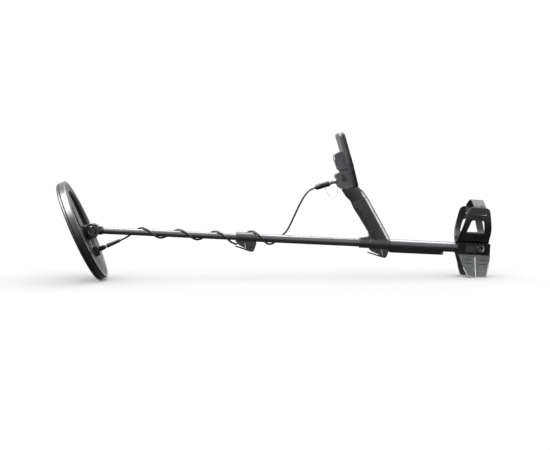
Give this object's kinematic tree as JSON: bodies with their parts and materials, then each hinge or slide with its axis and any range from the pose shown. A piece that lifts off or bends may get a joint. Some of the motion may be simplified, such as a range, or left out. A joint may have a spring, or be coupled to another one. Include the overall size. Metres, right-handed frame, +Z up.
{
  "type": "metal detector",
  "caption": "Telescopic metal detector with a round spoked search coil, control box on an angled grip, and an armrest stand.",
  "frame": {"origin": "centre of the base of the detector's box, on the ground, without its cable", "axes": "+X along the ground from the search coil to the armrest, +Z up"},
  "size_m": [1.1824, 0.28, 0.3979],
  "materials": {
    "coil_abs": "satin",
    "skid_plastic": "satin",
    "shell_plastic": "satin",
    "black_nylon": "satin",
    "soft_rubber": "matte",
    "cable_jacket": "satin",
    "anodised_tube": "satin",
    "plated_metal": "polished",
    "copper_winding": "satin",
    "clear_window": "gloss",
    "display_glass": "gloss",
    "nylon_cord": "satin",
    "board": "satin",
    "cell_wrap": "satin",
    "armrest_plastic": "satin",
    "stand_plastic": "satin",
    "webbing": "matte"
  },
  "bodies": {
    "main_shaft": {"upper_tube": "anodised_tube", "shaft_end_cap": "soft_rubber", "handle_left": "shell_plastic", "handle_right": "shell_plastic", "grip_sleeve": "soft_rubber", "handle_loom": "cable_jacket", "rear_lock_pin": "plated_metal", "battery_tray": "black_nylon", "battery_cell": "cell_wrap", "display_front_case": "shell_plastic", "case_seal": "soft_rubber", "display_rear_case": "shell_plastic", "display_lens": "clear_window", "lcd_panel": "display_glass", "circuit_board": "board", "speaker": "black_nylon", "torch_lens": "clear_window", "coil_socket": "plated_metal", "plug_body": "cable_jacket", "plug_tether": "nylon_cord", "cable_lead": "cable_jacket"},
    "middle_shaft": {"middle_tube": "anodised_tube", "middle_guide_bush": "black_nylon", "front_lock_collar": "black_nylon", "front_lock_pin": "plated_metal", "cable_winding": "cable_jacket"},
    "lower_shaft": {"lower_rod": "anodised_tube", "rod_yoke": "black_nylon", "rod_guide_bush": "black_nylon"},
    "search_coil": {"coil_housing": "coil_abs", "skid_plate": "skid_plastic", "transmit_winding": "copper_winding", "receive_winding": "copper_winding", "cable_gland": "black_nylon", "strain_relief": "soft_rubber", "hinge_washer_left": "soft_rubber", "hinge_washer_right": "soft_rubber", "hinge_bolt": "black_nylon", "cable_tail": "cable_jacket"},
    "coil_knob": {"hinge_knob": "black_nylon"},
    "front_lever": {"front_lock_lever": "black_nylon"},
    "rear_lever": {"rear_lock_lever": "black_nylon"},
    "plug_ring": {"plug_nut": "plated_metal"},
    "audio_port_cap": {"port_cap": "soft_rubber"},
    "armrest": {"armrest_cuff": "armrest_plastic", "armrest_pad": "soft_rubber", "stand_left": "stand_plastic", "stand_right": "stand_plastic", "armrest_bolt": "plated_metal", "arm_strap": "webbing"},
    "clamp_knob": {"armrest_knob": "black_nylon"},
    "key_up_body": {"key_up": "soft_rubber"},
    "key_down_body": {"key_down": "soft_rubber"},
    "key_left_body": {"key_left": "soft_rubber"},
    "key_right_body": {"key_right": "soft_rubber"},
    "key_select_body": {"key_select": "soft_rubber"},
    "key_pinpoint_body": {"key_pinpoint": "soft_rubber"},
    "key_menu_body": {"key_menu": "soft_rubber"},
    "key_power_body": {"key_power": "soft_rubber"}
  },
  "joints": [
    {"name": "middle_slide", "type": "slide", "parent": "main_shaft", "child": "middle_shaft", "axis": [0.9986, 0, -0.0529], "range_m": [-0.05, 0.155], "deforming": ["cable_lead"]},
    {"name": "rod_slide", "type": "slide", "parent": "middle_shaft", "child": "lower_shaft", "axis": [0.9986, 0, -0.0529], "range_m": [-0.06, 0.2], "deforming": ["cable_winding"]},
    {"name": "coil_tilt", "type": "hinge", "parent": "lower_shaft", "child": "search_coil", "pos_m": [-0.49669, 0, 0.1335], "axis": [0, 1, 0], "range_deg": [-60, 20], "deforming": ["cable_tail"]},
    {"name": "coil_knob_turn", "type": "hinge", "parent": "search_coil", "child": "coil_knob", "pos_m": [-0.49669, -0.022, 0.1335], "axis": [0, 1, 0], "continuous": true},
    {"name": "front_lever_open", "type": "hinge", "parent": "middle_shaft", "child": "front_lever", "pos_m": [-0.07096, 0, 0.08492], "axis": [0, -1, 0], "range_deg": [0, 80]},
    {"name": "rear_lever_open", "type": "hinge", "parent": "main_shaft", "child": "rear_lever", "pos_m": [0.29453, 0, 0.06558], "axis": [0, -1, 0], "range_deg": [0, 80]},
    {"name": "plug_ring_turn", "type": "hinge", "parent": "main_shaft", "child": "plug_ring", "pos_m": [0.15125, 0, 0.26051], "axis": [0.9585, 0, 0.2852], "continuous": true},
    {"name": "port_cap_swing", "type": "hinge", "parent": "main_shaft", "child": "audio_port_cap", "pos_m": [0.17691, -0.0184, 0.28296], "axis": [-0.9585, 0, -0.2852], "range_deg": [0, 100]},
    {"name": "armrest_slide", "type": "slide", "parent": "main_shaft", "child": "armrest", "axis": [-0.9986, 0, 0.0529], "range_m": [0, 0.03]},
    {"name": "clamp_knob_turn", "type": "hinge", "parent": "armrest", "child": "clamp_knob", "pos_m": [0.56053, -0.023, 0.07753], "axis": [0, 1, 0], "continuous": true},
    {"name": "key_up_press", "type": "slide", "parent": "main_shaft", "child": "key_up_body", "axis": [-0.9585, 0, -0.2852], "range_m": [0, 0.0008], "stiffness_N_per_m": 800},
    {"name": "key_down_press", "type": "slide", "parent": "main_shaft", "child": "key_down_body", "axis": [-0.9585, 0, -0.2852], "range_m": [0, 0.0008], "stiffness_N_per_m": 800},
    {"name": "key_left_press", "type": "slide", "parent": "main_shaft", "child": "key_left_body", "axis": [-0.9585, 0, -0.2852], "range_m": [0, 0.0008], "stiffness_N_per_m": 800},
    {"name": "key_right_press", "type": "slide", "parent": "main_shaft", "child": "key_right_body", "axis": [-0.9585, 0, -0.2852], "range_m": [0, 0.0008], "stiffness_N_per_m": 800},
    {"name": "key_select_press", "type": "slide", "parent": "main_shaft", "child": "key_select_body", "axis": [-0.9585, 0, -0.2852], "range_m": [0, 0.0008], "stiffness_N_per_m": 800},
    {"name": "key_pinpoint_press", "type": "slide", "parent": "main_shaft", "child": "key_pinpoint_body", "axis": [-0.9585, 0, -0.2852], "range_m": [0, 0.0008], "stiffness_N_per_m": 800},
    {"name": "key_menu_press", "type": "slide", "parent": "main_shaft", "child": "key_menu_body", "axis": [-0.9585, 0, -0.2852], "range_m": [0, 0.0008], "stiffness_N_per_m": 800},
    {"name": "key_power_press", "type": "slide", "parent": "main_shaft", "child": "key_power_body", "axis": [-0.9585, 0, -0.2852], "range_m": [0, 0.0008], "stiffness_N_per_m": 800}
  ]
}
